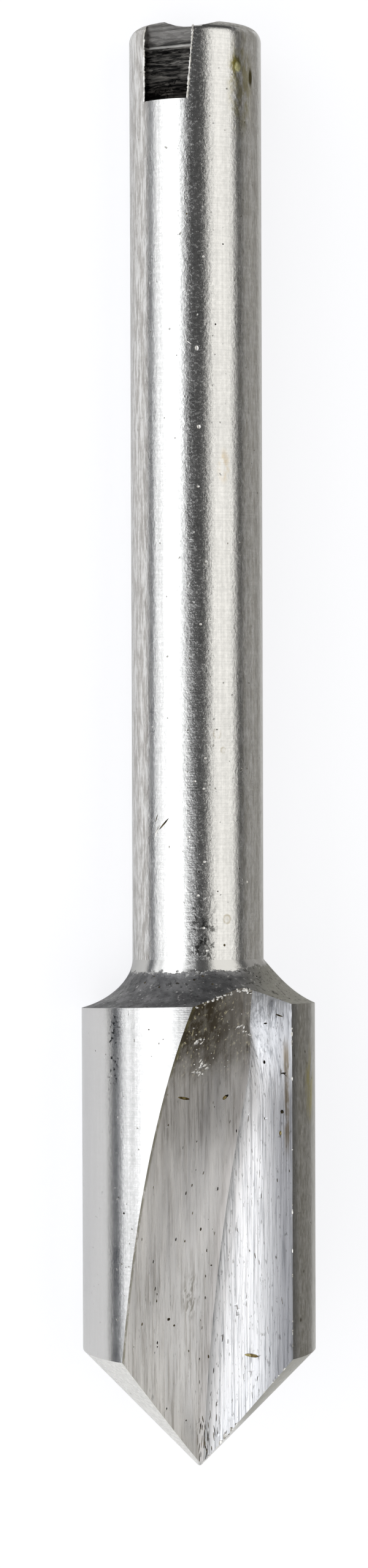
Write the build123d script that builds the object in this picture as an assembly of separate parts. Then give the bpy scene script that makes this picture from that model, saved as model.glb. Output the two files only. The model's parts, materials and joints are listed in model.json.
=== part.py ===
from build123d import *
import math
import os

# A two-flute V-groove milling cutter, ground from one piece of tool steel.
# Lengths are in millimetres and angles in degrees.
# Heights run along the tool's axis, from the tip at 0 to the end of the shank.
# Bearings run around the axis: 0 is the side in view, and they grow to the right.

# Shank
shank_diameter = 3.2
shank_length = 22.65
end_round_radius = 0.33

# Head: a point of nearly 90 degrees, then a straight cylinder up to the shoulder
head_diameter = 5.7
head_length = 8.4
point_angle = 88
tip_flat_diameter = 0.08

# Neck: a hollow ground between the shoulder and the shank, a little out of true
neck_length = 1.13
neck_hollow_radius = 2.1
neck_runout = 0.16
neck_tilt = 3.5
neck_overrun_angle = 8
neck_section_count = 8

# Flutes: gashes ground by the corner of a large wheel, deeper towards the tip
flute_count = 2
wheel_radius = 50
flute_angle = 99
valley_radius = 0.22
valley_offset_at_tip = 0.1
valley_offset_at_shoulder = 1.98
cutting_edge_bearing = 52.5

# Notch in the side of the shank's end, with its right wall leaning outwards
notch_width = 1.17
notch_depth = 0.28
notch_length = 1.9
notch_bearing = -28
notch_wall_lean = 4.5

# Shallow groove across the end face
end_groove_radius = 1.4
end_groove_depth = 0.17
end_groove_bearing = -3

# Room that a cutting solid has beyond the material that it cuts
clearance = 1

shank_radius = shank_diameter / 2
head_radius = head_diameter / 2
tip_radius = tip_flat_diameter / 2
point_length = (head_radius - tip_radius) / math.tan(math.radians(point_angle / 2))
shoulder_height = point_length + head_length
junction_height = shoulder_height + neck_length
total_length = junction_height + shank_length
wall_lean = flute_angle - 90


def outward(bearing):
    """Unit vector that points out from the axis at a bearing."""
    angle = math.radians(bearing)
    return Vector(math.sin(angle), -math.cos(angle), 0)


def arc_centre(low, high, radius):
    """Centre, away from the axis, of the arc of this radius through two points."""
    chord = high - low
    side = Vector(chord.Y, -chord.X).normalized()
    reach = math.sqrt(radius**2 - (chord.length / 2) ** 2)
    return (low + high) / 2 + side * reach


def arc_angle(centre, point):
    """Direction from the centre to a point, in degrees from 180 to 360."""
    return math.degrees(math.atan2(point.Y - centre.Y, point.X - centre.X)) % 360


def point_envelope():
    """All that the ground point leaves: a cone that opens upwards from the tip."""
    widest = head_radius + clearance
    cone_height = (widest - tip_radius) / math.tan(math.radians(point_angle / 2))
    cone = Cone(tip_radius, widest, cone_height, align=(Align.CENTER, Align.CENTER, Align.MIN))
    above = Pos(0, 0, cone_height) * Cylinder(
        widest, total_length, align=(Align.CENTER, Align.CENTER, Align.MIN)
    )
    return cone + above


def neck_section(centre, start, end, share):
    """Round section of the hollow: share is 0 at the shoulder and 1 at the shank."""
    angle = math.radians(start + share * (end - start))
    radius = centre.X + neck_hollow_radius * math.cos(angle)
    height = centre.Y + neck_hollow_radius * math.sin(angle)
    shift = neck_runout * max(0, 1 - max(0, share) ** 4)
    return Pos(shift, 0, height - neck_length) * Circle(radius)


def neck_envelope():
    """All that the ground neck leaves, with the hollow run past both of its ends."""
    low = Vector(head_radius, 0)
    high = Vector(shank_radius, neck_length)
    centre = arc_centre(low, high, neck_hollow_radius)
    start = arc_angle(centre, low)
    end = arc_angle(centre, high)
    overrun = neck_overrun_angle / (start - end)
    sections = []
    for step in range(neck_section_count):
        share = -overrun + (1 + 2 * overrun) * step / (neck_section_count - 1)
        sections.append(neck_section(centre, start, end, share))
    hollow = loft(sections)
    foot = hollow.bounding_box().min.Z
    below = Pos(0, 0, foot) * Cylinder(
        head_diameter, total_length, align=(Align.CENTER, Align.CENTER, Align.MAX)
    )
    return Pos(0, 0, junction_height) * Rot(-neck_tilt, 0, 0) * (hollow + below)


def head():
    """Head and neck: a cylinder, pointed below and hollowed above."""
    blank = Cylinder(
        head_radius,
        junction_height + clearance,
        align=(Align.CENTER, Align.CENTER, Align.MIN),
    )
    return blank & point_envelope() & neck_envelope()


def shank():
    """Plain round shank with a rounded end, rooted inside the neck."""
    bar = Pos(0, 0, shoulder_height) * Cylinder(
        shank_radius,
        neck_length + shank_length,
        align=(Align.CENTER, Align.CENTER, Align.MIN),
    )
    rim = bar.edges().filter_by(GeomType.CIRCLE).sort_by(Axis.Z)[-1]
    return fillet(rim, end_round_radius)


def flute_wheel():
    """Grinding wheel of one flute: its flat side leaves the face that cuts."""
    low = Vector(valley_offset_at_tip, 0)
    high = Vector(valley_offset_at_shoulder, shoulder_height)
    centre = arc_centre(low, high, wheel_radius)
    width = head_radius + clearance
    rim_radius = wheel_radius + width * math.tan(math.radians(wall_lean))
    wheel = Cone(wheel_radius, rim_radius, width, align=(Align.CENTER, Align.CENTER, Align.MIN))
    corner = wheel.edges().filter_by(GeomType.CIRCLE).sort_by(Axis.Z)[0]
    wheel = fillet(corner, valley_radius)
    away = outward(cutting_edge_bearing)
    seat = Plane(
        origin=away * centre.X + Vector(0, 0, centre.Y),
        x_dir=away,
        z_dir=outward(cutting_edge_bearing - 90),
    )
    return seat * wheel


def side_notch():
    """Flat-bottomed slot milled into the side of the shank at its end."""
    top = notch_length + clearance
    left = -notch_width / 2
    right = notch_width / 2
    leaned = right + top * math.tan(math.radians(notch_wall_lean))
    side = Polyline((left, 0), (right, 0), (leaned, top), (left, top), close=True)
    block = extrude(Rot(90, 0, 0) * make_face(side), notch_depth + clearance)
    floor = Pos(0, notch_depth - shank_radius, total_length - notch_length)
    return Rot(0, 0, notch_bearing) * floor * block


def end_groove():
    """Shallow round-bottomed groove across the end face."""
    bar = Rot(90, 0, 0) * Cylinder(end_groove_radius, shank_diameter + clearance)
    axis_height = total_length + end_groove_radius - end_groove_depth
    return Rot(0, 0, end_groove_bearing) * Pos(0, 0, axis_height) * bar


def standing_cutter():
    """The whole tool, upright on its tip."""
    body = head() + shank()
    for number in range(flute_count):
        body -= Rot(0, 0, number * 360 / flute_count) * flute_wheel()
    return body - side_notch() - end_groove()


def resting_flute(tool):
    """Bearings of the heel and the cutting edge of the far flute, at the shoulder."""
    edge = cutting_edge_bearing + 180
    rim = []
    for vertex in tool.vertices():
        on_head = abs(math.hypot(vertex.X, vertex.Y) - head_radius) < 0.01
        bearing = math.degrees(math.atan2(vertex.X, -vertex.Y)) % 360
        if on_head and vertex.Z > shoulder_height - head_length / 2 and bearing < edge - 1:
            rim.append(bearing)
    return max(rim), edge


def lay_down(tool):
    """Rests the tool on both edges of the far flute, at the shoulder, and on its end."""
    heel, edge = resting_flute(tool)
    ring_height = shoulder_height - head_radius * math.sin(math.radians(neck_tilt))
    axis_height = head_radius * math.cos(math.radians((edge - heel) / 2))
    span = total_length - end_round_radius - ring_height
    tilt = math.degrees(math.atan2(axis_height - shank_radius, span))
    lying = Rot(-90 - tilt, 0, 0) * Rot(0, 0, 180 - (heel + edge) / 2) * tool
    box = lying.bounding_box()
    return Pos(-box.center().X, -box.center().Y, -box.min.Z) * lying


cutter = lay_down(standing_cutter())
os.makedirs("parts", exist_ok=True)
export_step(cutter, "parts/groove_cutter.step")
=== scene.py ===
import bmesh
import bpy
import json
import random
from math import asin, atan2, cos, degrees, hypot, radians, sin, sqrt, tan, tau
from mathutils import Euler, Matrix, Vector

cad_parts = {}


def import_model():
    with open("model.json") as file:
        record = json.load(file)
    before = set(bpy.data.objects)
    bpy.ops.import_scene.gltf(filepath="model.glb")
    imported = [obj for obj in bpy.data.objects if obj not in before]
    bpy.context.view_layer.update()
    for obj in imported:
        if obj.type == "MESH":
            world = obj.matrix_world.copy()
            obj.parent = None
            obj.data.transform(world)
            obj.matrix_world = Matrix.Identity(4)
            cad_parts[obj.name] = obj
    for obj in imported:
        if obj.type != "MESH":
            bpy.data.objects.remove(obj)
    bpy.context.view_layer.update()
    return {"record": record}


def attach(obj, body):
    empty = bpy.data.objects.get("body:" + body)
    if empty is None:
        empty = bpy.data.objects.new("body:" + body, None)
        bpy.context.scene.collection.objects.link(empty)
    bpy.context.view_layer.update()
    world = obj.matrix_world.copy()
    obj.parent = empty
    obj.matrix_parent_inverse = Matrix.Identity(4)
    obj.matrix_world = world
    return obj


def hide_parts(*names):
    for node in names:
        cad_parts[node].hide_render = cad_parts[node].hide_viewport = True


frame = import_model()

MM = 0.001

# Sizes of the tool, in millimetres and degrees, as the solid has them.
# Heights run up its axis from the tip; bearings run around it, 0 in view and growing to the right.
SHANK_RADIUS = 1.6
SHANK_LENGTH = 22.65
END_ROUND_RADIUS = 0.33
HEAD_RADIUS = 2.85
HEAD_LENGTH = 8.4
POINT_ANGLE = 88
TIP_RADIUS = 0.04
NECK_LENGTH = 1.13
NECK_HOLLOW_RADIUS = 2.1
NECK_RUNOUT = 0.16
NECK_TILT = 3.5
WHEEL_RADIUS = 50
WALL_LEAN = 9
VALLEY_RADIUS = 0.22
VALLEY_OFFSET_AT_TIP = 0.1
VALLEY_OFFSET_AT_SHOULDER = 1.98
CUTTING_EDGE_BEARING = 52.5
NOTCH_WIDTH = 1.17
NOTCH_DEPTH = 0.28
NOTCH_LENGTH = 1.9
NOTCH_BEARING = -28
NOTCH_WALL_LEAN = 4.5
END_GROOVE_RADIUS = 1.4
END_GROOVE_DEPTH = 0.17
END_GROOVE_BEARING = -3

# The tool lies on both edges of its far flute, so this bearing points down.
RESTING_BEARING = 203.7145

# Below the neck the cutting face climbs out of the wheel's plane, most at the valley.
FACE_LIFT = 0.8
FACE_LIFT_START = 8.9
FACE_LIFT_OVERRUN = 0.3
FACE_LIFT_WIDTH = 0.93

POINT_LENGTH = (HEAD_RADIUS - TIP_RADIUS) / tan(radians(POINT_ANGLE / 2))
SHOULDER_HEIGHT = POINT_LENGTH + HEAD_LENGTH
JUNCTION_HEIGHT = SHOULDER_HEIGHT + NECK_LENGTH
TOTAL_LENGTH = JUNCTION_HEIGHT + SHANK_LENGTH

# The shank's mount lies at this height on the tool's axis.
MOUNT_HEIGHT = 23.546

# Place and turn of the camera in the tool's own frame, from the photo's outline
CAMERA_PLACE = (0.71, -88.88, 18.617)
CAMERA_TURN = (88.784, 0.198, 0.666)

# Lamps: watts per square metre that look white in a mirror, and brightness as shares of that
MIRROR_WHITE = 4
LEFT_RADIANCE = 1.5
RIGHT_RADIANCE = 0.95
WALL_RADIANCE = 0.28
SHEET_RADIANCE = 0.42
TABLE_RADIANCE = 0.95

# Distance of the soft boxes, and height of the cards over the table, in metres
BOX_DISTANCE = 0.25
CARD_LIFT = 0.0003

# Fineness of the meshes: columns around the tool, rows up it, and steps of the cutters
COLUMNS = 240
CONE_ROWS = 20
CYLINDER_ROWS = 48
NECK_ROWS = 22
SHANK_ROWS = 70
ROUND_ROWS = 8
WHEEL_STEPS = 150
CORNER_STEPS = 8
PROFILE_STEP = 0.15
NOTCH_COLUMNS = 16
NOTCH_ROWS = 70
GROOVE_COLUMNS = 128
BURR_STEPS = 46
RIDGE_SIDES = 5

# Extent of the cutters beyond what they cut
WHEEL_START = -3
WHEEL_SWEEP = 24
WHEEL_RIM = 6
NOTCH_OVERRUN = 0.6
GROOVE_REACH = 2.4


def tool_matrix():
    """Takes the tool's own frame, x right, -y to the viewer and z up its axis, to the world."""
    mount = frame["record"]["mounts"][0]
    axis = Vector(mount["axis"]).normalized()
    tip = Vector(mount["pos_m"]) - axis * MOUNT_HEIGHT * MM
    up = (Vector((0, 0, 1)) - axis * axis.z).normalized()
    turn = Matrix.Rotation(radians(180 - RESTING_BEARING), 3, axis)
    front = turn @ up
    right = axis.cross(front)
    rotation = Matrix((right, -front, axis)).transposed()
    return Matrix.Translation(tip) @ rotation.to_4x4()


TOOL = tool_matrix()

# The cuts are made on a bench where one unit is a millimetre. The piece is scaled down afterwards.
BENCH = Matrix.Scale(1 / MM, 4) @ TOOL


def outward(bearing):
    """Unit vector out from the axis at a bearing, in the tool's frame."""
    angle = radians(bearing)
    return Vector((sin(angle), -cos(angle), 0))


def point_at(bearing, radius, height):
    """Point of the tool's frame, in millimetres."""
    return outward(bearing) * radius + Vector((0, 0, height))


def bearing_of(point):
    """Bearing of a point of the tool's frame."""
    return degrees(atan2(point.x, -point.y))


def arc_centre(low, high, radius):
    """Centre, away from the axis, of the arc of this radius through two points."""
    chord = high - low
    side = Vector((chord.y, -chord.x)).normalized()
    return (low + high) / 2 + side * sqrt(radius**2 - (chord.length / 2) ** 2)


def wheel_centre():
    """Centre of a flute's wheel: its distance from the tool's axis, and its height."""
    low = Vector((VALLEY_OFFSET_AT_TIP, 0))
    high = Vector((VALLEY_OFFSET_AT_SHOULDER, SHOULDER_HEIGHT))
    return arc_centre(low, high, WHEEL_RADIUS)


def ease(value, low, high):
    """Smooth step from 0 at low to 1 at high."""
    part = min(max((value - low) / (high - low), 0), 1)
    return part * part * (3 - 2 * part)


def add_object(name, data):
    """Puts a mesh, a lamp or a camera into the scene."""
    made = bpy.data.objects.new(name, data)
    bpy.context.collection.objects.link(made)
    return made


def new_piece(name, mesh_maker, *settings):
    """Makes an object on the bench from a function that fills a bmesh in the tool's frame."""
    mesh = bpy.data.meshes.new(name)
    work = bmesh.new()
    mesh_maker(work, *settings)
    bmesh.ops.recalc_face_normals(work, faces=work.faces)
    work.to_mesh(mesh)
    work.free()
    for material in MATERIALS:
        mesh.materials.append(material)
    mesh.transform(BENCH)
    return add_object(name, mesh)


def skin(work, rows, kind, ends):
    """Joins closed rows of vertices into quads, and closes both ends.

    kind gives a quad's surface by its row and column, and ends has those of the two ends.
    """
    for row in range(len(rows) - 1):
        low, high = rows[row], rows[row + 1]
        for column in range(len(low)):
            after = (column + 1) % len(low)
            face = work.faces.new((low[column], low[after], high[after], high[column]))
            face.smooth = True
            face.material_index = kind(row, column)
    work.faces.new(rows[0]).material_index = ends[0]
    work.faces.new(rows[-1]).material_index = ends[1]


# Materials

def set_socket(tree, socket, value):
    """Links a node's output to a socket, or sets the socket's value."""
    if isinstance(value, bpy.types.NodeSocket):
        tree.links.new(value, socket)
    else:
        socket.default_value = value


def add_node(tree, kind, inputs=None, **settings):
    """Makes a node with its settings, and links or sets its inputs."""
    node = tree.nodes.new(kind)
    for key, value in settings.items():
        setattr(node, key, value)
    for key, value in (inputs or {}).items():
        set_socket(tree, node.inputs[key], value)
    return node


def mixed(tree, factor, a, b, blend="MIX"):
    """Color that goes from a towards b as far as the factor says."""
    a, b = [(*color, 1) if isinstance(color, tuple) else color for color in (a, b)]
    inputs = {"Factor": factor, "A": a, "B": b}
    node = add_node(tree, "ShaderNodeMix", inputs, data_type="RGBA", blend_type=blend)
    return node.outputs["Result"]


class Steel:
    """A metal material, and the nodes that its surface is built from.

    x, y and height are the place in the tool's own frame, in millimetres. tone is the color.
    The material has the name of the function that builds its surface.
    """

    def __init__(self, surface):
        self.material = bpy.data.materials.new(surface.__name__)
        self.material.use_nodes = True
        self.tree = self.material.node_tree
        self.tone = None
        inverse = TOOL.inverted()
        inputs = {
            "Vector": self.node("ShaderNodeTexCoord").outputs["Object"],
            "Location": inverse.to_translation(),
            "Rotation": inverse.to_euler(),
        }
        in_tool = self.node("ShaderNodeMapping", inputs).outputs["Vector"]
        self.place = self.scaled(in_tool, (1 / MM, 1 / MM, 1 / MM))
        parts = self.node("ShaderNodeSeparateXYZ", {"Vector": self.place})
        self.x, self.y, self.height = parts.outputs
        surface(self)

    def node(self, kind, inputs=None, **settings):
        return add_node(self.tree, kind, inputs, **settings)

    def number(self, operation, a, b=0.0):
        """Result of a math operation."""
        return self.node("ShaderNodeMath", {0: a, 1: b}, operation=operation).outputs[0]

    def plus(self, a, b):
        return self.number("ADD", a, b)

    def minus(self, a, b):
        return self.number("SUBTRACT", a, b)

    def times(self, *values):
        result = values[0]
        for value in values[1:]:
            result = self.number("MULTIPLY", result, value)
        return result

    def scaled(self, vector, scale):
        node = self.node("ShaderNodeVectorMath", {0: vector, 1: scale}, operation="MULTIPLY")
        return node.outputs[0]

    def range(self, value, low, high, to_low=0.0, to_high=1.0):
        """Smooth step from to_low, where the value is low, to to_high, where it is high."""
        inputs = {"Value": value, "From Min": low, "From Max": high}
        inputs |= {"To Min": to_low, "To Max": to_high}
        node = self.node("ShaderNodeMapRange", inputs, interpolation_type="SMOOTHSTEP")
        return node.outputs["Result"]

    def band(self, value, low, high):
        """1 between two soft borders, each given by where it begins and ends."""
        return self.times(self.range(value, *low), self.range(value, *high, 1, 0))

    def noise(self, scale, detail=3.0, rough=0.6, distortion=0.0):
        """Noise with its grains per millimetre along each of the tool's axes."""
        inputs = {"Vector": self.scaled(self.place, scale), "Scale": 1.0, "Detail": detail}
        inputs |= {"Roughness": rough, "Distortion": distortion}
        return self.node("ShaderNodeTexNoise", inputs).outputs["Fac"]

    def patches(self, scale, low, high, **noise):
        """Noise as patches: 0 where it is below a low level, 1 where it is above a high one."""
        return self.range(self.noise(scale, **noise), low, high)

    def blot(self, centre, reach, soft=0.6):
        """Soft spot, 1 at its centre and 0 beyond its reach along each axis."""
        away = self.node("ShaderNodeVectorMath", {0: self.place, 1: centre}, operation="SUBTRACT")
        shares = self.scaled(away.outputs[0], [1 / value for value in reach])
        length = self.node("ShaderNodeVectorMath", {0: shares}, operation="LENGTH")
        return self.range(length.outputs["Value"], 1 - soft, 1, 1, 0)

    def along(self, bearing):
        """Distance from the axis along a bearing, to either side."""
        inputs = {0: self.place, 1: outward(bearing)}
        dot = self.node("ShaderNodeVectorMath", inputs, operation="DOT_PRODUCT")
        return self.number("ABSOLUTE", dot.outputs["Value"])

    def valley_distance(self):
        """Distance from a flute's valley, along the face that cuts."""
        centre = wheel_centre()
        rise = self.minus(self.height, centre.y)
        square = self.minus(WHEEL_RADIUS**2, self.times(rise, rise))
        valley = self.minus(centre.x, self.number("SQRT", square))
        lifted = self.range(self.height, FACE_LIFT_START, SHOULDER_HEIGHT + 0.6, 0, 0.42)
        return self.plus(self.minus(self.along(CUTTING_EDGE_BEARING), valley), lifted)

    def tint(self, color, *factors):
        """Takes the tone towards a color, as far as the product of the factors says."""
        self.tone = mixed(self.tree, self.times(*factors), self.tone, color)

    def shade(self, color, *factors):
        """Multiplies the tone by a color, as far as the product of the factors says."""
        self.tone = mixed(self.tree, self.times(*factors), self.tone, color, "MULTIPLY")

    def finish(self, roughness, bumps):
        """Sets the shader, and chains (height, depth in millimetres) bumps."""
        inputs = self.tree.nodes["Principled BSDF"].inputs
        inputs["Metallic"].default_value = 1.0
        set_socket(self.tree, inputs["Base Color"], self.tone)
        set_socket(self.tree, inputs["Roughness"], roughness)
        normal = {}
        for height, depth in bumps:
            bump = {"Strength": 1.0, "Distance": abs(depth) * MM, "Height": height, **normal}
            node = self.node("ShaderNodeBump", bump, invert=depth < 0)
            normal = {"Normal": node.outputs["Normal"]}
        set_socket(self.tree, inputs["Normal"], normal["Normal"])


def polished(steel, color, roughness, grain_depth):
    """Tones a ground and lapped round surface, and gives its roughness and bumps."""
    rings = steel.noise((0.5, 0.5, 30), detail=4, rough=0.7)
    lines = steel.noise((13, 13, 0.35))
    grain = steel.noise((11, 11, 9), detail=4, rough=0.7)
    mottle = steel.noise((1.3, 1.3, 0.8))
    speck = steel.patches((8, 8, 8), 0.75, 0.8, detail=1, rough=0.5)
    steel.tone = tuple(c * 0.86 for c in color)
    steel.tint(color, steel.range(grain, 0.3, 0.7))
    steel.shade((0.78, 0.78, 0.78), steel.range(lines, 0.35, 0.65, 0.5, 0))
    steel.shade((0.8, 0.8, 0.8), steel.range(rings, 0.35, 0.65, 0.4, 0))
    steel.tint((0.35, 0.34, 0.31), speck)
    rough = steel.range(mottle, 0.3, 0.7, roughness * 0.85, roughness * 1.2)
    return rough, [(rings, 0.0022), (grain, grain_depth), (speck, -0.008)]


# Pale rings on the shank: centre and reach
RING_SPOTS = [
    ((0.487, -1.524, 17.97), 0.13),
    ((0.633, -1.469, 17.57), 0.08),
    ((0.709, -1.434, 13.5), 0.12),
]


def steel_shank(steel):
    """Shank: polished, with an olive stain near its end, and painted dark patches and painted
    glints in the dark reflection down its middle.
    """
    rough, bumps = polished(steel, (0.74, 0.735, 0.725), 0.165, 0.0062)
    patchy = steel.patches((5, 5, 3), 0.35, 0.6, detail=4)
    halo = steel.blot((1.1, -1.15, 33.6), (0.45, 0.6, 1.5))
    steel.tint((0.34, 0.3, 0.13), halo, patchy, 0.7)
    steel.tint((0.22, 0.19, 0.04), steel.blot((1.0, -1.25, 33.98), (0.22, 0.3, 0.36)), patchy)
    steel.tint((0.95, 0.92, 0.5), steel.blot((1.03, -1.225, 33.98), (0.1, 0.16, 0.16)))
    steel.tint((0.07, 0.055, 0.01), steel.blot((1.335, -0.882, 33.78), (0.075, 0.14, 0.3)))
    steel.shade((0.9, 0.8, 0.66), steel.blot((0.66, -1.46, 24.4), (0.2, 0.3, 0.5)), patchy)
    for centre, reach in RING_SPOTS:
        spot = steel.blot(centre, (reach, reach * 2, reach * 1.2), 0.3)
        heart = steel.blot(centre, (reach * 0.7, reach * 2, reach * 0.85), 0.5)
        heart = steel.range(heart, 0, 1, 1, 0.35)
        steel.shade((0.7, 0.66, 0.57), spot, heart, patchy)
    # Painted reflection down the middle: dark patches deepen the dark reflection near the neck,
    # and glints lighten it.
    middle = steel.band(steel.x, (-0.3, -0.1), (0.35, 0.55))
    low = steel.range(steel.height, 13.2, 14.6, 1, 0)
    dark_reflection_patches = steel.patches((6, 6, 4), 0.5, 0.58, detail=5, rough=0.75)
    steel.tint((0.05, 0.05, 0.045), middle, low, dark_reflection_patches, 0.85)
    glints = steel.times(middle, steel.patches((14, 14, 19), 0.5, 0.68, rough=0.7))
    steel.tint((1.0, 1.0, 0.98), glints, 0.4)
    mottle = steel.patches((9, 9, 2.2), 0.35, 0.65, detail=5, rough=0.75)
    steel.shade((0.7, 0.685, 0.65), steel.range(steel.x, 0.95, 1.1), mottle)
    streaks = steel.patches((11, 11, 1.6), 0.36, 0.64, detail=5, rough=0.75)
    left = steel.range(steel.x, -1.2, -1.05, 1, 0)
    steel.tint((0.95, 0.945, 0.95), left, streaks, 0.7)
    steel.shade((0.74, 0.715, 0.7), left, steel.range(streaks, 0, 1, 1, 0))
    steel.finish(steel.plus(rough, steel.times(glints, 0.12)), bumps)


def steel_neck(steel):
    """Neck: rough-turned and dull, lighter and olive to the right, with painted glints and a
    bright ragged top.
    """
    grain = steel.noise((9, 9, 9), detail=5, rough=0.7)
    cloud = steel.noise((1.8, 1.8, 3), detail=4)
    steel.tone = (0.14, 0.14, 0.145)
    steel.tint((0.27, 0.27, 0.275), steel.range(cloud, 0.35, 0.65))
    steel.tint((0.46, 0.45, 0.4), steel.range(steel.x, 0.9, 1.9, 0, 0.8))
    steel.tint((0.05, 0.048, 0.045), steel.range(grain, 0.54, 0.66, 0, 0.7))
    # Painted glints: light flecks on the dull neck.
    steel.tint((0.75, 0.74, 0.72), steel.patches((10, 10, 8), 0.62, 0.7, detail=2), 0.5)
    wavy = steel.times(steel.noise((4, 4, 4), detail=4, rough=0.7), 0.5)
    leaned = steel.minus(steel.plus(steel.height, wavy), steel.times(steel.x, 0.06))
    bright = steel.range(leaned, 12.47, 12.54)
    steel.tint((0.58, 0.575, 0.565), bright)
    inputs = {"Factor": bright, "A": steel.range(grain, 0.3, 0.7, 0.42, 0.6), "B": 0.2}
    rough = steel.node("ShaderNodeMix", inputs, data_type="FLOAT").outputs["Result"]
    depth = steel.range(bright, 0, 1, 1, 0.2)
    bumps = [(steel.times(cloud, depth), 0.02), (steel.times(grain, depth), 0.014)]
    steel.finish(rough, bumps)


def steel_land(steel):
    """Lands of the head: polished, with olive traces on the right, painted shade and a painted
    dark line on the right, painted light on the left, and painted dark specks in the dark
    reflection on the left.
    """
    rough, bumps = polished(steel, (0.7, 0.695, 0.69), 0.18, 0.0026)
    # Painted shade on the right side, mottled.
    right = steel.range(steel.x, 2.1, 2.5)
    steel.shade((0.62, 0.61, 0.585), right)
    mottle = steel.patches((10, 10, 3.5), 0.38, 0.62, detail=5, rough=0.75)
    steel.shade((0.6, 0.59, 0.54), right, mottle)
    # Painted light on the left side, and a painted dark line beside the right edge.
    steel.tint((0.68, 0.675, 0.685), steel.range(steel.x, -2.25, -2.12, 0.75, 0))
    steel.shade((0.42, 0.42, 0.42), steel.band(steel.x, (2.05, 2.15), (2.28, 2.5)))
    streak = steel.patches((6, 6, 1.5), 0.38, 0.6, detail=4)
    steel.tint((0.3, 0.26, 0.08), steel.blot((2.7, -0.9, 9.5), (0.22, 0.5, 1.2)), streak)
    # Painted dark specks in the dark reflection on the left land.
    specks = steel.patches((12, 12, 9), 0.58, 0.66, detail=2)
    high = steel.range(steel.height, 8.2, 9.8)
    field = steel.blot((-2.03, -2.0, 10.3), (0.22, 0.4, 2.2), 0.7)
    steel.tint((0.05, 0.05, 0.055), specks, high, field)
    steel.finish(rough, bumps)


def steel_point(steel):
    """Point: coarser ground than the lands, with painted shade on its right side."""
    rough, bumps = polished(steel, (0.96, 0.955, 0.94), 0.3, 0.006)
    # Painted shade on the right side of the point.
    steel.shade((0.47, 0.465, 0.43), steel.range(steel.x, 0.6, 1.3))
    steel.finish(rough, bumps)


def brushed(steel, low_color, high_color, roughness, depth_scale):
    """Tones a face ground lengthwise, and gives its roughness and bumps."""
    lines = steel.noise((17, depth_scale, 0.5), detail=4, rough=0.7)
    wide = steel.noise((5, depth_scale / 3, 0.2))
    broken = steel.noise((20, depth_scale, 3), rough=0.7)
    steel.tone = low_color
    steel.tint(high_color, steel.range(lines, 0.33, 0.55))
    dark = tuple(c * 0.45 for c in low_color)
    steel.tint(dark, steel.range(broken, 0.6, 0.75, 0, 0.55))
    rough = steel.range(wide, 0.3, 0.7, roughness * 0.8, roughness * 1.2)
    return rough, [(wide, 0.01), (lines, 0.007), (broken, 0.003)]


def steel_wall(steel):
    """Sloped wall of a flute: warm grey, stained dark towards the shoulder, with painted shade
    higher up, to the right and in the valley, and painted light at middle heights.
    """
    rough, bumps = brushed(steel, (0.68, 0.65, 0.615), (1.0, 0.98, 0.955), 0.4, 2)
    # Painted shade higher up and to the right, painted light at middle heights, and painted shade
    # in the valley.
    steel.shade((0.7, 0.69, 0.68), steel.range(steel.height, 6.7, 9.0))
    steel.shade((0.88, 0.88, 0.88), steel.range(steel.x, -1.2, 0.4))
    steel.tint((1.0, 0.97, 0.94), steel.band(steel.height, (4.6, 5.8), (7.2, 8.6)), 0.5)
    valley = steel.range(steel.along(CUTTING_EDGE_BEARING - 90), 0.1, 0.4, 1, 0)
    steel.shade((0.89, 0.89, 0.91), valley)
    high = steel.range(steel.height, 8.7, 11.2)
    clouds = steel.noise((2.6, 2.6, 1.6), detail=5, rough=0.7)
    cover = steel.range(steel.plus(high, steel.times(clouds, 0.9)), 0.62, 1.4)
    cover = steel.times(cover, steel.range(steel.x, 0.3, 1.1, 0.94, 0.57))
    mix = steel.noise((4.5, 4.5, 3), detail=4, rough=0.7)
    brown = steel.range(mix, 0.46, 0.64)
    stain = mixed(steel.tree, brown, (0.055, 0.04, 0.018), (0.185, 0.17, 0.14))
    grit = steel.patches((12, 12, 9), 0.6, 0.7, detail=2)
    steel.tint(mixed(steel.tree, grit, stain, (0.55, 0.5, 0.34)), cover)
    square_radius = steel.plus(steel.times(steel.x, steel.x), steel.times(steel.y, steel.y))
    heel = steel.range(square_radius, 7.55, 7.9)
    steel.tint((0.2, 0.18, 0.08), heel, steel.range(mix, 0.35, 0.55), 0.6)
    swirl = steel.patches((7, 7, 2.6), 0.45, 0.6, distortion=1.5)
    steel.tint((0.22, 0.195, 0.14), steel.blot((-0.2, -0.9, 4.3), (0.3, 0.6, 0.75)), swirl, 0.6)
    duller = steel.times(steel.number("MAXIMUM", cover, valley), 0.25)
    steel.finish(steel.plus(rough, duller), bumps + [(mix, 0.006)])


def steel_rake(steel):
    """Face that cuts: bright and cool, with a brown line beside its edge, and painted shade
    towards its outer edge and next to the valley.
    """
    rough, bumps = brushed(steel, (0.5, 0.51, 0.535), (0.88, 0.885, 0.91), 0.36, 17)
    steel.tint((0.2, 0.195, 0.19), steel.patches((15, 15, 4.5), 0.61, 0.69), 0.55)
    outer = steel.along(CUTTING_EDGE_BEARING)
    near_edge = steel.band(outer, (2.58, 2.67), (2.74, 2.78))
    along = steel.band(steel.height, (7.6, 8.4), (10.2, 10.8))
    patchy = steel.patches((3, 3, 1.4), 0.35, 0.55, detail=4)
    steel.tint((0.26, 0.19, 0.09), near_edge, along, patchy, 0.75)
    # Painted shade towards the outer edge, with less of it high up, and painted shade next to the
    # valley.
    lower = steel.range(steel.height, 8.5, 10, 1, 0.75)
    steel.shade((0.33, 0.33, 0.34), steel.range(outer, 1.5, 2.7), lower)
    distance = steel.valley_distance()
    steel.shade((0.66, 0.65, 0.63), steel.range(distance, 0.05, 0.55, 1, 0))
    steel.finish(steel.plus(rough, steel.range(distance, 0.0, 0.3, 0.4, 0)), bumps)


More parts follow.
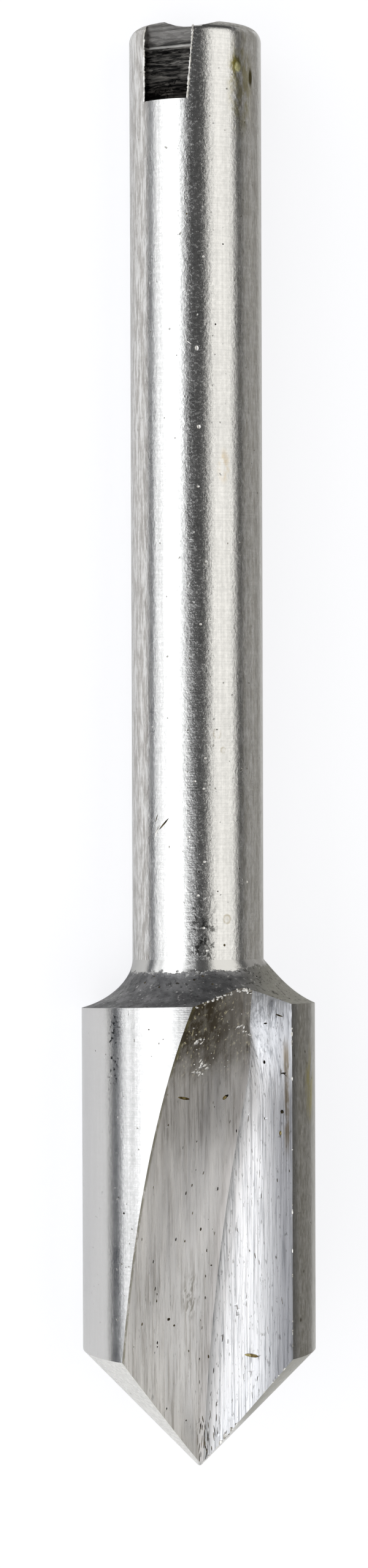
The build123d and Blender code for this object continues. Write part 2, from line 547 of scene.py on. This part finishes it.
def steel_notch(steel):
    """Notch: torn by the mill into rough ridges, painted near black as shade in the recess, with
    more painted shade at its lower end, and lighter next to the end.
    """
    ridges = steel.noise((2.2, 2.2, 16), detail=5, rough=0.7, distortion=0.6)
    # Painted shade: the floor is near black, as if shaded in its recess.
    steel.tone = (0.008, 0.008, 0.008)
    steel.tint((0.22, 0.21, 0.195), steel.range(ridges, 0.42, 0.66))
    # More painted shade at the lower end. Towards the end it is lighter, with a thin bright line.
    steel.shade((0.45, 0.43, 0.42), steel.range(steel.height, 33.4, 34.0, 1, 0))
    steel.tint((0.34, 0.33, 0.32), steel.range(steel.height, 34.45, 34.8, 0, 0.75))
    steel.tint((0.55, 0.54, 0.52), steel.band(steel.height, (34.44, 34.47), (34.49, 34.52)), 0.8)
    steel.finish(steel.range(ridges, 0.3, 0.7, 0.4, 0.6), [(ridges, 0.035)])


def cloudy(steel, cloud, borders, dark, light, roughness, depth):
    """Plain surface of two colors, with the clouds of one noise in its color and its bumps."""
    steel.tone = dark
    steel.tint(light, steel.range(cloud, *borders))
    steel.finish(roughness, [(cloud, depth)])


def steel_end(steel):
    """End of the shank: dull, with traces of turning."""
    grain = steel.noise((12, 12, 12), detail=4, rough=0.65)
    cloudy(steel, grain, (0.35, 0.65), (0.34, 0.33, 0.315), (0.55, 0.54, 0.52), 0.4, 0.01)


def steel_pit(steel):
    """Inside of pits and chips: dark, with some rust."""
    cloud = steel.noise((6, 6, 6))
    cloudy(steel, cloud, (0.4, 0.6), (0.035, 0.03, 0.025), (0.16, 0.13, 0.07), 0.55, 0.01)


def steel_rust(steel):
    """Olive-brown residue in the larger marks."""
    cloud = steel.noise((10, 10, 10))
    cloudy(steel, cloud, (0.4, 0.6), (0.17, 0.12, 0.05), (0.42, 0.36, 0.17), 0.55, 0.01)


def steel_burr(steel):
    """Burrs and crumbs of bare bright metal."""
    cloud = steel.noise((9, 9, 9))
    cloudy(steel, cloud, (0.35, 0.65), (0.62, 0.6, 0.56), (0.93, 0.92, 0.9), 0.38, 0.012)


SURFACES = [
    steel_shank, steel_neck, steel_land, steel_point, steel_wall, steel_rake,
    steel_notch, steel_end, steel_pit, steel_rust, steel_burr,
]
SHANK, NECK, LAND, POINT, WALL, RAKE, NOTCH, END, PIT, RUST, BURR = range(len(SURFACES))
MATERIALS = [Steel(surface).material for surface in SURFACES]


# The tool's blank: tip, point, head, neck and shank as one skin of rings

def neck_point(share, theta):
    """Point of the ground neck: share is 0 at the shoulder and 1 at the shank."""
    low = Vector((HEAD_RADIUS, 0))
    high = Vector((SHANK_RADIUS, NECK_LENGTH))
    centre = arc_centre(low, high, NECK_HOLLOW_RADIUS)
    start = atan2(low.y - centre.y, low.x - centre.x)
    end = atan2(high.y - centre.y, high.x - centre.x)
    angle = start + share * (end - start)
    radius = centre.x + NECK_HOLLOW_RADIUS * cos(angle)
    height = centre.y + NECK_HOLLOW_RADIUS * sin(angle) - NECK_LENGTH
    shift = NECK_RUNOUT * max(0.0, 1 - max(0.0, share) ** 4)
    point = outward(theta) * radius + Vector((shift, 0, height))
    tilted = Matrix.Rotation(radians(-NECK_TILT), 3, "X") @ point
    return tilted + Vector((0, 0, JUNCTION_HEIGHT))


def share_where(theta, radius, low, high):
    """Share at which the neck is as far from the axis as radius."""
    for _ in range(40):
        middle = (low + high) / 2
        point = neck_point(middle, theta)
        if hypot(point.x, point.y) > radius:
            low = middle
        else:
            high = middle
    return (low + high) / 2


def neck_columns():
    """For each column of the skin, the points of the neck from the rim to the shank."""
    columns = []
    past = 0.16
    for k in range(COLUMNS):
        theta = 360 * k / COLUMNS
        rim = share_where(theta, HEAD_RADIUS, -past, 0.5)
        junction = share_where(theta, SHANK_RADIUS, 0.5, 1 + past)
        shares = [rim + (junction - rim) * i / NECK_ROWS for i in range(NECK_ROWS + 1)]
        columns.append([neck_point(share, theta) for share in shares])
    return columns


def make_blank(work):
    """The tool before its flutes, notch and groove are cut."""
    columns = neck_columns()
    low_bearings = [bearing_of(neck[0]) for neck in columns]
    high_bearings = [bearing_of(neck[-1]) for neck in columns]
    round_start = TOTAL_LENGTH - END_ROUND_RADIUS
    bands = []
    for i in range(CONE_ROWS):
        part = i / CONE_ROWS
        radius = TIP_RADIUS + (HEAD_RADIUS - TIP_RADIUS) * part
        bands.append(([point_at(b, radius, POINT_LENGTH * part) for b in low_bearings], POINT))
    for i in range(CYLINDER_ROWS):
        part = i / CYLINDER_ROWS
        heights = [POINT_LENGTH + (neck[0].z - POINT_LENGTH) * part for neck in columns]
        ring = [point_at(b, HEAD_RADIUS, height) for b, height in zip(low_bearings, heights)]
        bands.append((ring, LAND))
    for i in range(NECK_ROWS):
        bands.append(([neck[i] for neck in columns], NECK))
    for i in range(SHANK_ROWS):
        part = i / SHANK_ROWS
        heights = [neck[-1].z + (round_start - neck[-1].z) * part for neck in columns]
        ring = [point_at(b, SHANK_RADIUS, height) for b, height in zip(high_bearings, heights)]
        bands.append((ring, SHANK))
    for i in range(ROUND_ROWS + 1):
        angle = radians(90 * i / ROUND_ROWS)
        radius = SHANK_RADIUS - END_ROUND_RADIUS * (1 - cos(angle))
        height = round_start + END_ROUND_RADIUS * sin(angle)
        ring = [point_at(b, radius, height) for b in high_bearings]
        bands.append((ring, SHANK if i < 3 else END))

    rows = [[work.verts.new(point * MM) for point in ring] for ring, _ in bands]
    skin(work, rows, lambda row, column: bands[row][1], (POINT, END))


# What is ground or milled out of the blank

def wheel_profile():
    """Outline of the wheel's rim: distance from its centre, depth from its flat side, surface."""
    slope = tan(radians(WALL_LEAN))
    width = HEAD_RADIUS + 1
    inner = WHEEL_RADIUS - WHEEL_RIM
    corner = WHEEL_RADIUS + slope * VALLEY_RADIUS - VALLEY_RADIUS * hypot(1, slope)
    face_start = WHEEL_RADIUS - 2.95
    face_rows, wall_rows = 19, 23
    points = [(inner, 0, RAKE)]
    for i in range(face_rows):
        points.append((face_start + PROFILE_STEP * i, 0, RAKE))
    for i in range(CORNER_STEPS + 1):
        angle = radians(-90 + (90 - WALL_LEAN) * i / CORNER_STEPS)
        distance = corner + VALLEY_RADIUS * cos(angle)
        depth = VALLEY_RADIUS * (1 + sin(angle))
        points.append((distance, depth, RAKE if i < CORNER_STEPS / 2 else WALL))
    for i in range(1, wall_rows + 1):
        depth = VALLEY_RADIUS + PROFILE_STEP * i
        points.append((WHEEL_RADIUS + slope * depth, depth, WALL))
    points.append((WHEEL_RADIUS + slope * width, width, WALL))
    points.append((inner, width, WALL))
    return points


def face_climb(reach, height):
    """How far the cutting face is lifted at a distance from the axis and a height."""
    span = SHOULDER_HEIGHT + FACE_LIFT_OVERRUN - FACE_LIFT_START
    lift = FACE_LIFT * (max(height - FACE_LIFT_START, 0) / span) ** 2
    return lift * min(max((HEAD_RADIUS - reach) / FACE_LIFT_WIDTH, 0), 1)


def make_wheel(work, side):
    """The part of a flute's grinding wheel that is near the tool."""
    centre = wheel_centre()
    away = outward(CUTTING_EDGE_BEARING + side)
    depth_way = outward(CUTTING_EDGE_BEARING - 90 + side)
    profile = wheel_profile()
    rows = []
    for step in range(WHEEL_STEPS + 1):
        angle = radians(WHEEL_START + WHEEL_SWEEP * step / WHEEL_STEPS)
        row = []
        for distance, depth, _ in profile:
            reach = centre.x - distance * cos(angle)
            height = centre.y + distance * sin(angle)
            point = away * reach + depth_way * max(depth, face_climb(reach, height))
            point.z = height
            row.append(work.verts.new(point * MM))
        rows.append(row)
    skin(work, rows, lambda row, column: profile[column][2], (RAKE, RAKE))


def make_notch(work):
    """Block that mills the side notch, with a torn floor and a leaning right wall."""
    draw = random.Random(5).uniform
    ridge_height, ridge_rate, floor_tear, rough_tear = 0.02, 21, 0.018, 0.01
    left_tear, right_tear = 0.012, 0.016
    floor_radius = SHANK_RADIUS - NOTCH_DEPTH
    low = TOTAL_LENGTH - NOTCH_LENGTH
    length = NOTCH_LENGTH + NOTCH_OVERRUN
    lean = tan(radians(NOTCH_WALL_LEAN))
    turn = Matrix.Rotation(radians(NOTCH_BEARING), 3, "Z")

    def corner(x, y, height):
        return work.verts.new(turn @ Vector((x, y, height)) * MM)

    bottom, top = [], []
    for i in range(NOTCH_ROWS + 1):
        height = low + length * i / NOTCH_ROWS
        ridge = ridge_height * sin(height * ridge_rate + draw(-0.6, 0.6))
        ridge += draw(-floor_tear, floor_tear)
        left = -NOTCH_WIDTH / 2
        right = NOTCH_WIDTH / 2 + lean * (height - low)
        if i > 0:
            left += draw(-left_tear, left_tear)
            right += draw(-right_tear, right_tear)
        row = []
        for k in range(NOTCH_COLUMNS + 1):
            x = left + (right - left) * k / NOTCH_COLUMNS
            inside = 0 < k < NOTCH_COLUMNS and 0 < i < NOTCH_ROWS
            rough = ridge + draw(-rough_tear, rough_tear) if inside else 0
            row.append(corner(x, -floor_radius - rough, height))
        bottom.append(row)
        top.append([corner(x, -SHANK_RADIUS - 1, height) for x in (left, right)])
    for i in range(NOTCH_ROWS):
        low_row, high_row = bottom[i], bottom[i + 1]
        for k in range(NOTCH_COLUMNS):
            work.faces.new((low_row[k], low_row[k + 1], high_row[k + 1], high_row[k]))
        work.faces.new((low_row[0], high_row[0], top[i + 1][0], top[i][0]))
        work.faces.new((low_row[-1], top[i][1], top[i + 1][1], high_row[-1]))
        work.faces.new((top[i][0], top[i + 1][0], top[i + 1][1], top[i][1]))
    work.faces.new(bottom[0] + [top[0][1], top[0][0]])
    work.faces.new(bottom[-1][::-1] + [top[-1][0], top[-1][1]])
    for face in work.faces:
        face.material_index = NOTCH


def make_end_groove(work):
    """Bar that grinds the shallow groove across the end."""
    axis_height = TOTAL_LENGTH + END_GROOVE_RADIUS - END_GROOVE_DEPTH
    turn = Matrix.Rotation(radians(END_GROOVE_BEARING), 3, "Z")
    rows = []
    for y in (-GROOVE_REACH, GROOVE_REACH):
        ring = []
        for k in range(GROOVE_COLUMNS):
            angle = tau * k / GROOVE_COLUMNS
            x = END_GROOVE_RADIUS * cos(angle)
            height = axis_height + END_GROOVE_RADIUS * sin(angle)
            ring.append(work.verts.new(turn @ Vector((x, y, height)) * MM))
        rows.append(ring)
    skin(work, rows, lambda row, column: END, (END, END))


def carve(piece, cutter_maker, *settings, crossing=False):
    """Takes a cutter out of a piece; crossing means that the cutter's parts overlap."""
    cutter = new_piece("cutter", cutter_maker, *settings)
    change = piece.modifiers.new("carve", "BOOLEAN")
    change.operation = "DIFFERENCE"
    change.solver = "EXACT"
    change.material_mode = "INDEX"
    change.use_self = crossing
    change.object = cutter
    depsgraph = bpy.context.evaluated_depsgraph_get()
    mesh = bpy.data.meshes.new_from_object(piece.evaluated_get(depsgraph))
    piece.modifiers.clear()
    old = piece.data
    piece.data = mesh
    bpy.data.meshes.remove(old)
    bpy.data.objects.remove(cutter)


# Marks: pits, chips, burrs and crumbs, placed by their sideways place and height

def find_point(piece, x, height):
    """Place, outward normal and surface that the front shows at x and a height, or nothing."""
    in_front = -6
    origin = BENCH @ (Vector((x, in_front, height)) * MM)
    way = TOOL.to_3x3() @ Vector((0, 1, 0))
    hit, place, normal, index = piece.ray_cast(origin, way)
    if not hit:
        return None
    back = BENCH.inverted()
    kind = piece.data.polygons[index].material_index
    return (back @ place) / MM, (back.to_3x3() @ normal).normalized(), kind


def add_lump(work, place, normal, size, turn, kind, rough, draw):
    """Ellipsoid on a surface; size is half its width, half its length up the tool, its depth."""
    up = Vector((0, 0, 1))
    along = (up - normal * normal.z).normalized()
    side = along.cross(normal).normalized()
    spin = Matrix.Rotation(radians(turn), 3, normal)
    axes = Matrix((spin @ side * size[0], spin @ along * size[1], normal * size[2])).transposed()
    made = bmesh.ops.create_icosphere(work, subdivisions=2, radius=1.0)
    for vert in made["verts"]:
        local = vert.co * (1 + draw(-rough, rough))
        vert.co = (place + axes @ local) * MM
    for face in {face for vert in made["verts"] for face in vert.link_faces}:
        face.material_index = kind
        face.smooth = True


# Marks seen in the photograph: sideways place, height, half width, half length, depth, turn, kind
PLAIN_MARKS = [
    (-0.33, 9.27, 0.21, 0.035, 0.05, -12, RUST),
    (0.65, 9.19, 0.085, 0.055, 0.05, 25, RUST),
    (0.7, 9.22, 0.045, 0.03, 0.07, 25, PIT),
    (-1.775, 6.512, 0.028, 0.028, 0.03, 0, PIT),
    (-0.73, 3.807, 0.05, 0.04, 0.06, 0, PIT),
    (-0.6, 3.632, 0.032, 0.03, 0.04, 0, PIT),
    (1.27, 2.872, 0.21, 0.045, 0.025, 0, RUST),
    (0.713, 0.847, 0.035, 0.03, 0.03, 0, PIT),
    (2.021, 8.864, 0.05, 0.05, 0.05, 0, PIT),
    (1.976, 8.343, 0.035, 0.06, 0.04, 0, RUST),
    (2.053, 9.798, 0.08, 0.02, 0.03, 5, PIT),
    (1.6, 10.045, 0.03, 0.045, 0.04, 0, PIT),
    (1.62, 11.0, 0.045, 0.02, 0.03, 0, PIT),
    (1.95, 11.2, 0.09, 0.02, 0.03, -20, PIT),
    (0.648, 12.878, 0.03, 0.03, 0.02, 0, PIT),
    (-0.3, 6.9, 0.02, 0.05, 0.03, 0, PIT),
    (0.05, 5.95, 0.03, 0.045, 0.03, 0, PIT),
    (0.3, 5.0, 0.03, 0.02, 0.03, 0, PIT),
    (-0.8, 15.8, 0.022, 0.2, 0.03, -44, PIT),
    (-0.97, 15.62, 0.022, 0.16, 0.02, -30, BURR),
    (-0.98, 15.93, 0.014, 0.1, 0.02, -20, PIT),
    (-0.18, 27.36, 0.012, 0.11, 0.012, 55, BURR),
    (0.03, 27.21, 0.045, 0.06, 0.012, 20, BURR),
    (0.07, 25.33, 0.045, 0.05, 0.012, 0, BURR),
]

# Bright nicks in the dark reflection along the shank: sideways place and height
NICKS = [
    (0.21, 17.38), (-0.05, 16.83), (0.17, 16.65), (-0.2, 15.49), (0.18, 14.89),
    (0.02, 14.08), (1.2, 14.38), (0.23, 12.75), (0.15, 13.3), (0.1, 20.6),
    (0.24, 22.1), (0.05, 23.9), (0.2, 29.4),
]

# Fields of small pits: count, left, right, low, high, half widths, half lengths, surfaces
PIT_FIELDS = [
    (60, -1.6, 1.2, 1.0, 9.4, (0.008, 0.022), (0.012, 0.055), (WALL,)),
    (46, 0.2, 2.2, 1.2, 11.0, (0.006, 0.014), (0.03, 0.11), (RAKE,)),
    (30, -0.05, 0.45, 0.1, 1.3, (0.006, 0.014), (0.05, 0.17), (WALL, RAKE)),
    (22, -0.2, 1.5, 12.6, 34.3, (0.01, 0.022), (0.01, 0.026), (SHANK,)),
    (10, -2.7, -1.0, 4.0, 11.0, (0.008, 0.02), (0.008, 0.025), (LAND,)),
    (12, 2.3, 2.8, 3.4, 11.0, (0.008, 0.03), (0.01, 0.05), (LAND,)),
    (14, -2.2, 2.4, 11.4, 12.3, (0.02, 0.05), (0.01, 0.03), (NECK,)),
]

# Larger chips near the tip, in the cutting edge of the point: height and size
TIP_CHIPS = [(0.62, 0.07), (0.78, 0.1), (0.98, 0.08), (1.12, 0.05)]


def scattered_marks(draw):
    """Chance marks of the fields, each with the surfaces that it may lie on."""
    marks = []
    for count, left, right, low, high, widths, lengths, kinds in PIT_FIELDS:
        for _ in range(count):
            x, height = draw(left, right), draw(low, high)
            size = (draw(*widths), draw(*lengths))
            depth = min(size) * draw(0.8, 1.3)
            marks.append((x, height, *size, depth, draw(-12, 12), PIT, kinds))
    return marks


def edge_marks(work, draw):
    """Nicks along the straight cutting edge, and chips along the edge of the point."""
    normal = outward(CUTTING_EDGE_BEARING - 45)
    for _ in range(16):
        height = draw(3.2, 11.1)
        place = point_at(CUTTING_EDGE_BEARING, HEAD_RADIUS - 0.004, height)
        size = (draw(0.008, 0.024), draw(0.015, 0.06), 0.02)
        add_lump(work, place, normal, size, 0, BURR, 0.1, draw)
    chips = [(draw(0.15, 2.7), draw(0.012, 0.04)) for _ in range(16)]
    for height, size in chips + TIP_CHIPS:
        reach = TIP_RADIUS + (HEAD_RADIUS - TIP_RADIUS) * height / POINT_LENGTH
        place = point_at(CUTTING_EDGE_BEARING, reach, height)
        add_lump(work, place, normal, (size * 0.8, size, size * 0.8), 0, BURR, 0.2, draw)


def make_pits(work, piece):
    """All that is sunk into the surface: pits, rust spots, scratches, nicks and chips."""
    draw = random.Random(11).uniform
    nicks = [(x, height, 0.034, 0.03, 0.014, 0, BURR) for x, height in NICKS]
    marks = PLAIN_MARKS + nicks + scattered_marks(draw)
    for x, height, wide, long, depth, turn, kind, *kinds in marks:
        found = find_point(piece, x, height)
        if found and (not kinds or found[2] in kinds[0]):
            add_lump(work, found[0], found[1], (wide, long, depth), turn, kind, 0.08, draw)
    edge_marks(work, draw)


def add_ridge(work, points, radius, draw, kind):
    """Thin torn ridge through points, with a section that varies along it."""
    rings = []
    last = len(points) - 1
    for index, point in enumerate(points):
        ahead = points[min(index + 1, last)] - points[max(index - 1, 0)]
        normal = Vector((point.x, point.y, 0)).normalized()
        side = ahead.cross(normal).normalized()
        size = radius * (draw(0.2, 1.45) if 0 < index < last else 0.3)
        ring = []
        for k in range(RIDGE_SIDES):
            angle = tau * k / RIDGE_SIDES
            rim = side * size * cos(angle) + normal * size * sin(angle)
            ring.append(work.verts.new((point + rim) * MM))
        rings.append(ring)
    skin(work, rings, lambda row, column: kind, (kind, kind))


def notch_burrs(work, draw):
    """Burr along each of the notch's two long edges."""
    low = TOTAL_LENGTH - NOTCH_LENGTH
    lean = tan(radians(NOTCH_WALL_LEAN))
    for side, radius in ((-1, 0.024), (1, 0.028)):
        points = []
        for i in range(BURR_STEPS + 1):
            height = low - 0.02 + (NOTCH_LENGTH - 0.12) * i / BURR_STEPS
            across = NOTCH_WIDTH / 2 + (lean * (height - low) if side > 0 else 0)
            across += draw(-0.006, 0.006)
            bearing = NOTCH_BEARING + side * degrees(asin(across / SHANK_RADIUS))
            rounding = max(0, height - (TOTAL_LENGTH - END_ROUND_RADIUS)) ** 2 * 1.6
            reach = SHANK_RADIUS - rounding + 0.004
            points.append(point_at(bearing, reach, height))
        add_ridge(work, points, radius, draw, BURR)


def torn_curls(work, piece, draw):
    """Curled tears on the floor of the notch, at its lower end."""
    low = TOTAL_LENGTH - NOTCH_LENGTH
    for _ in range(9):
        x, height = draw(-1.05, -0.4), low + draw(0.05, 0.42)
        swing, size = draw(0, 6), draw(0.05, 0.13)
        points = []
        for i in range(9):
            angle = swing + 0.35 * i
            found = find_point(piece, x + size * cos(angle), height + size * sin(angle))
            if found and found[2] == NOTCH:
                points.append(found[0] + found[1] * 0.012)
        if len(points) > 4:
            add_ridge(work, points, 0.016, draw, NOTCH)


def rim_crumbs(work, piece, draw):
    """Crumbs along the line where the flute's wall runs out into the neck."""
    normal = Vector((0.3, -0.9, 0.2)).normalized()
    back = BENCH.inverted()
    shape = bmesh.new()
    shape.from_mesh(piece.data)
    for edge in shape.edges:
        if {face.material_index for face in edge.link_faces} != {WALL, NECK}:
            continue
        point = (back @ ((edge.verts[0].co + edge.verts[1].co) / 2)) / MM
        if point.y < 0 and -0.1 < point.x < 1.35 and draw(0, 1) < 0.5:
            size = draw(0.012, 0.035)
            point += Vector((draw(-0.02, 0.02), 0, -draw(0, 0.09)))
            add_lump(work, point, normal, (size * 1.4, size, size), draw(0, 90), BURR, 0.3, draw)
    shape.free()


# Heaps of crumbs on the flute's wall: sideways place, height and count
CRUMB_HEAPS = [
    (0.05, 10.64, 7), (0.0, 9.86, 6), (0.15, 10.0, 5),
    (0.04, 10.12, 3), (1.05, 10.95, 4), (1.13, 10.75, 4),
]


def wall_crumbs(work, piece, draw):
    """Crumbs on the flute's wall: some in heaps and some alone."""
    crumbs = []
    for x, height, count in CRUMB_HEAPS:
        for _ in range(count):
            place = (x + draw(-0.12, 0.12), height + draw(-0.05, 0.05))
            crumbs.append((*place, draw(0.03, 0.085), draw(0.02, 0.05)))
    for _ in range(22):
        place = (draw(-0.1, 1.1), draw(9.9, 11.6))
        crumbs.append((*place, draw(0.01, 0.022), draw(0.01, 0.022)))
    for x, height, wide, long in crumbs:
        found = find_point(piece, x, height)
        if found and found[2] == WALL:
            add_lump(work, found[0], found[1], (wide, long, 0.02), draw(0, 90), BURR, 0.3, draw)


def make_scraps(work, piece):
    """All that stands up from the surface."""
    draw = random.Random(23).uniform
    notch_burrs(work, draw)
    torn_curls(work, piece, draw)
    rim_crumbs(work, piece, draw)
    wall_crumbs(work, piece, draw)


def mark_edges(piece):
    """Smooth surfaces with crisp edges where they meet."""
    work = bmesh.new()
    work.from_mesh(piece.data)
    many_sided = [face for face in work.faces if len(face.verts) > 4]
    bmesh.ops.triangulate(work, faces=many_sided, ngon_method="EAR_CLIP")
    for face in work.faces:
        face.smooth = True
    for edge in work.edges:
        faces = edge.link_faces
        if len(faces) != 2:
            edge.smooth = False
            continue
        kinds = {faces[0].material_index, faces[1].material_index}
        blended = kinds in ({WALL, RAKE}, {SHANK, END})
        edge.smooth = blended or (len(kinds) == 1 and edge.calc_face_angle(0) < radians(25))
    work.to_mesh(piece.data)
    work.free()


def round_normals(piece):
    """Gives the shank, the lands and the neck's worn top the normals of true cylinders."""
    mesh = piece.data
    back = TOOL.inverted()
    turn = TOOL.to_3x3()
    round_start = TOTAL_LENGTH - END_ROUND_RADIUS - 0.01
    normals = [Vector(corner.vector) for corner in mesh.corner_normals]
    for face in mesh.polygons:
        kind = face.material_index
        if kind not in (SHANK, LAND, NECK):
            continue
        for index in face.loop_indices:
            point = back @ mesh.vertices[mesh.loops[index].vertex_index].co
            radial = turn @ Vector((point.x, point.y, 0)).normalized()
            if kind == NECK:
                own = ease(JUNCTION_HEIGHT - point.z / MM, 0.1, 0.4)
                normals[index] = radial.lerp(normals[index], own).normalized()
            elif kind == LAND or point.z < round_start * MM:
                normals[index] = radial
    mesh.normals_split_custom_set(normals)


def dress(piece):
    """Puts a piece on its body."""
    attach(piece, "root")


def groove_cutter():
    """The tool, in place of the solid, and the scraps on it."""
    piece = new_piece("ground_cutter", make_blank)
    carve(piece, make_wheel, 0)
    carve(piece, make_wheel, 180)
    carve(piece, make_notch)
    carve(piece, make_end_groove)
    scraps = new_piece("burrs_and_crumbs", make_scraps, piece)
    carve(piece, make_pits, piece, crossing=True)
    mark_edges(piece)
    for made in (piece, scraps):
        made.data.transform(Matrix.Scale(MM, 4))
    round_normals(piece)
    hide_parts("groove_cutter")
    dress(piece)
    dress(scraps)


# Stage, lights and camera

def add_sheet(name, corners, material):
    """Flat sheet of one face."""
    mesh = bpy.data.meshes.new(name)
    mesh.from_pydata(corners, [], [tuple(range(len(corners)))])
    mesh.materials.append(material)
    return add_object(name, mesh)


def floor():
    """White table: it stays white to the camera and keeps a faint shadow."""
    half = 3
    corners = [(-half, -half, 0), (half, -half, 0), (half, half, 0), (-half, half, 0)]
    material = bpy.data.materials.new("table_white")
    material.use_nodes = True
    tree = material.node_tree
    tree.nodes.remove(tree.nodes["Principled BSDF"])
    lit = add_node(tree, "ShaderNodeBsdfDiffuse", {"Color": (0.85, 0.85, 0.85, 1)})
    faint = add_node(tree, "ShaderNodeBsdfDiffuse", {"Color": (0.25, 0.25, 0.25, 1)})
    glow = add_node(tree, "ShaderNodeEmission", {"Color": (0.97, 0.975, 1, 1), "Strength": 0.8})
    seen = add_node(tree, "ShaderNodeAddShader", {0: faint.outputs[0], 1: glow.outputs[0]})
    to_camera = add_node(tree, "ShaderNodeLightPath").outputs["Is Camera Ray"]
    inputs = {0: to_camera, 1: lit.outputs[0], 2: seen.outputs[0]}
    surface = add_node(tree, "ShaderNodeMixShader", inputs).outputs[0]
    set_socket(tree, tree.nodes["Material Output"].inputs["Surface"], surface)
    table = add_sheet("table", corners, material)


def world():
    """White to the camera and dim around the lamps."""
    surroundings = bpy.data.worlds.new("studio")
    bpy.context.scene.world = surroundings
    surroundings.use_nodes = True
    tree = surroundings.node_tree
    background = tree.nodes["Background"]
    seen = add_node(tree, "ShaderNodeLightPath").outputs["Is Camera Ray"]
    color = mixed(tree, seen, (0.08, 0.08, 0.08), (0.975, 0.98, 1.0))
    tree.links.new(color, background.inputs["Color"])
    background.inputs["Strength"].default_value = 1.0


def lamp_panel(name, centre, away, along, width, length, color, radiance):
    """Rectangular lamp that shines away from the direction away."""
    lamp = bpy.data.lights.new(name, "AREA")
    lamp.shape = "RECTANGLE"
    lamp.size = width
    lamp.size_y = length
    lamp.color = color
    lamp.energy = radiance * MIRROR_WHITE * width * length
    panel = add_object(name, lamp)
    side = along.cross(away)
    turn = Matrix((side, along, away)).transposed().to_4x4()
    panel.matrix_world = Matrix.Translation(centre) @ turn
    panel.visible_camera = False
    return panel


def soft_box(name, bearings, reach, color, radiance):
    """Soft box beside the tool, between two bearings and two heights as the tool sees it."""
    low, high = bearings
    width = 2 * BOX_DISTANCE * tan(radians((high - low) / 2))
    away = (TOOL.to_3x3() @ outward((low + high) / 2)).normalized()
    along = (TOOL.to_3x3() @ Vector((0, 0, 1))).normalized()
    middle = TOOL @ Vector((0, 0, (reach[0] + reach[1]) / 2 * MM))
    length = (reach[1] - reach[0]) * MM
    centre = middle + away * BOX_DISTANCE
    lamp_panel(name, centre, away, along, width, length, color, radiance)


def table_reach(bearing, radius, height):
    """Where on the table, in the world's x, the metal reflects light that comes from a bearing."""
    surface = TOOL @ (point_at(bearing / 2, radius, height) * MM)
    ray = TOOL.to_3x3() @ outward(bearing)
    return surface.x - ray.x * surface.z / ray.z


def table_strip(name, near, far, lift, color, glow=0.0):
    """Flat strip beside the tool that fills the reflections from a near to a far bearing."""
    overrun = 12
    rows = []
    for radius, height in (
        (HEAD_RADIUS, -overrun),
        (HEAD_RADIUS, SHOULDER_HEIGHT),
        (SHANK_RADIUS, SHOULDER_HEIGHT),
        (SHANK_RADIUS, TOTAL_LENGTH + overrun),
    ):
        held = min(max(height, 0), TOTAL_LENGTH)
        y = (TOOL @ Vector((0, 0, height * MM))).y
        rows.append([(table_reach(bearing, radius, held), y, lift) for bearing in (near, far)])
    corners = [row[0] for row in rows] + [row[1] for row in reversed(rows)]
    strip = add_sheet(name, corners, plain_material(name, color, glow))
    strip.visible_camera = False
    strip.visible_shadow = False
    strip.visible_diffuse = False


def plain_material(name, color, glow=0.0):
    """Matt card, or a glowing sheet where glow is its radiance."""
    material = bpy.data.materials.new(name)
    material.use_nodes = True
    shader = material.node_tree.nodes["Principled BSDF"]
    shader.inputs["Base Color"].default_value = (*color, 1) if glow == 0 else (0, 0, 0, 1)
    shader.inputs["Roughness"].default_value = 0.9
    shader.inputs["Emission Color"].default_value = (*color, 1)
    shader.inputs["Emission Strength"].default_value = glow
    material.cycles.emission_sampling = "NONE"
    return material


def lights():
    """Soft boxes left and right, a dim wall on the right, and sheets beside the tool that only
    reflections see: two glowing ones for painted light and a dark one for painted shade.
    """
    cool, warm = (0.97, 0.985, 1.0), (1.0, 0.985, 0.94)
    dim, white = (1.0, 0.98, 0.93), (1.0, 1.0, 1.0)
    dark = (0.04, 0.045, 0.06)
    middle, reach = TOTAL_LENGTH / 2, 250
    tall = (middle - reach, middle + reach)
    soft_box("box_left", (-64, -21), tall, cool, LEFT_RADIANCE)
    soft_box("box_head", (-21, -6), (middle - reach, -8), cool, LEFT_RADIANCE)
    soft_box("box_right", (22, 71), tall, warm, RIGHT_RADIANCE)
    soft_box("wall_right", (88, 115), tall, dim, WALL_RADIANCE)
    # Sheets seen only in the metal's reflections: two glowing sheets give painted light there, and
    # a dark strip gives painted shade.
    table_strip("sheet_left", -68, -82, CARD_LIFT, cool, LEFT_RADIANCE)
    table_strip("strip_left", -82, -98, CARD_LIFT * 4 / 3, dark)
    table_strip("sheet_right", 117, 150, CARD_LIFT, dim, SHEET_RADIANCE)
    tilt = radians(40)
    away = Vector((-sin(tilt), 0, cos(tilt)))
    sideways = Vector((0, 1, 0))
    fill = lamp_panel("table_fill", away * 0.9, away, sideways, 1, 1, white, TABLE_RADIANCE)
    fill.visible_glossy = False


def camera():
    """Camera above the table, at the photograph's place and framing."""
    data = bpy.data.cameras.new("camera")
    data.sensor_width = 36
    focal_pixels, picture_height = 5933.2, 2560
    data.lens = data.sensor_width * focal_pixels / picture_height
    data.clip_start = 0.005
    data.clip_end = 20
    view = add_object("camera", data)
    place = Vector(CAMERA_PLACE) * MM
    turn = Euler([radians(angle) for angle in CAMERA_TURN])
    view.matrix_world = TOOL @ Matrix.LocRotScale(place, turn, None)
    bpy.context.scene.camera = view


groove_cutter()
floor()
world()
lights()
camera()
bpy.context.scene.view_settings.view_transform = "Standard"
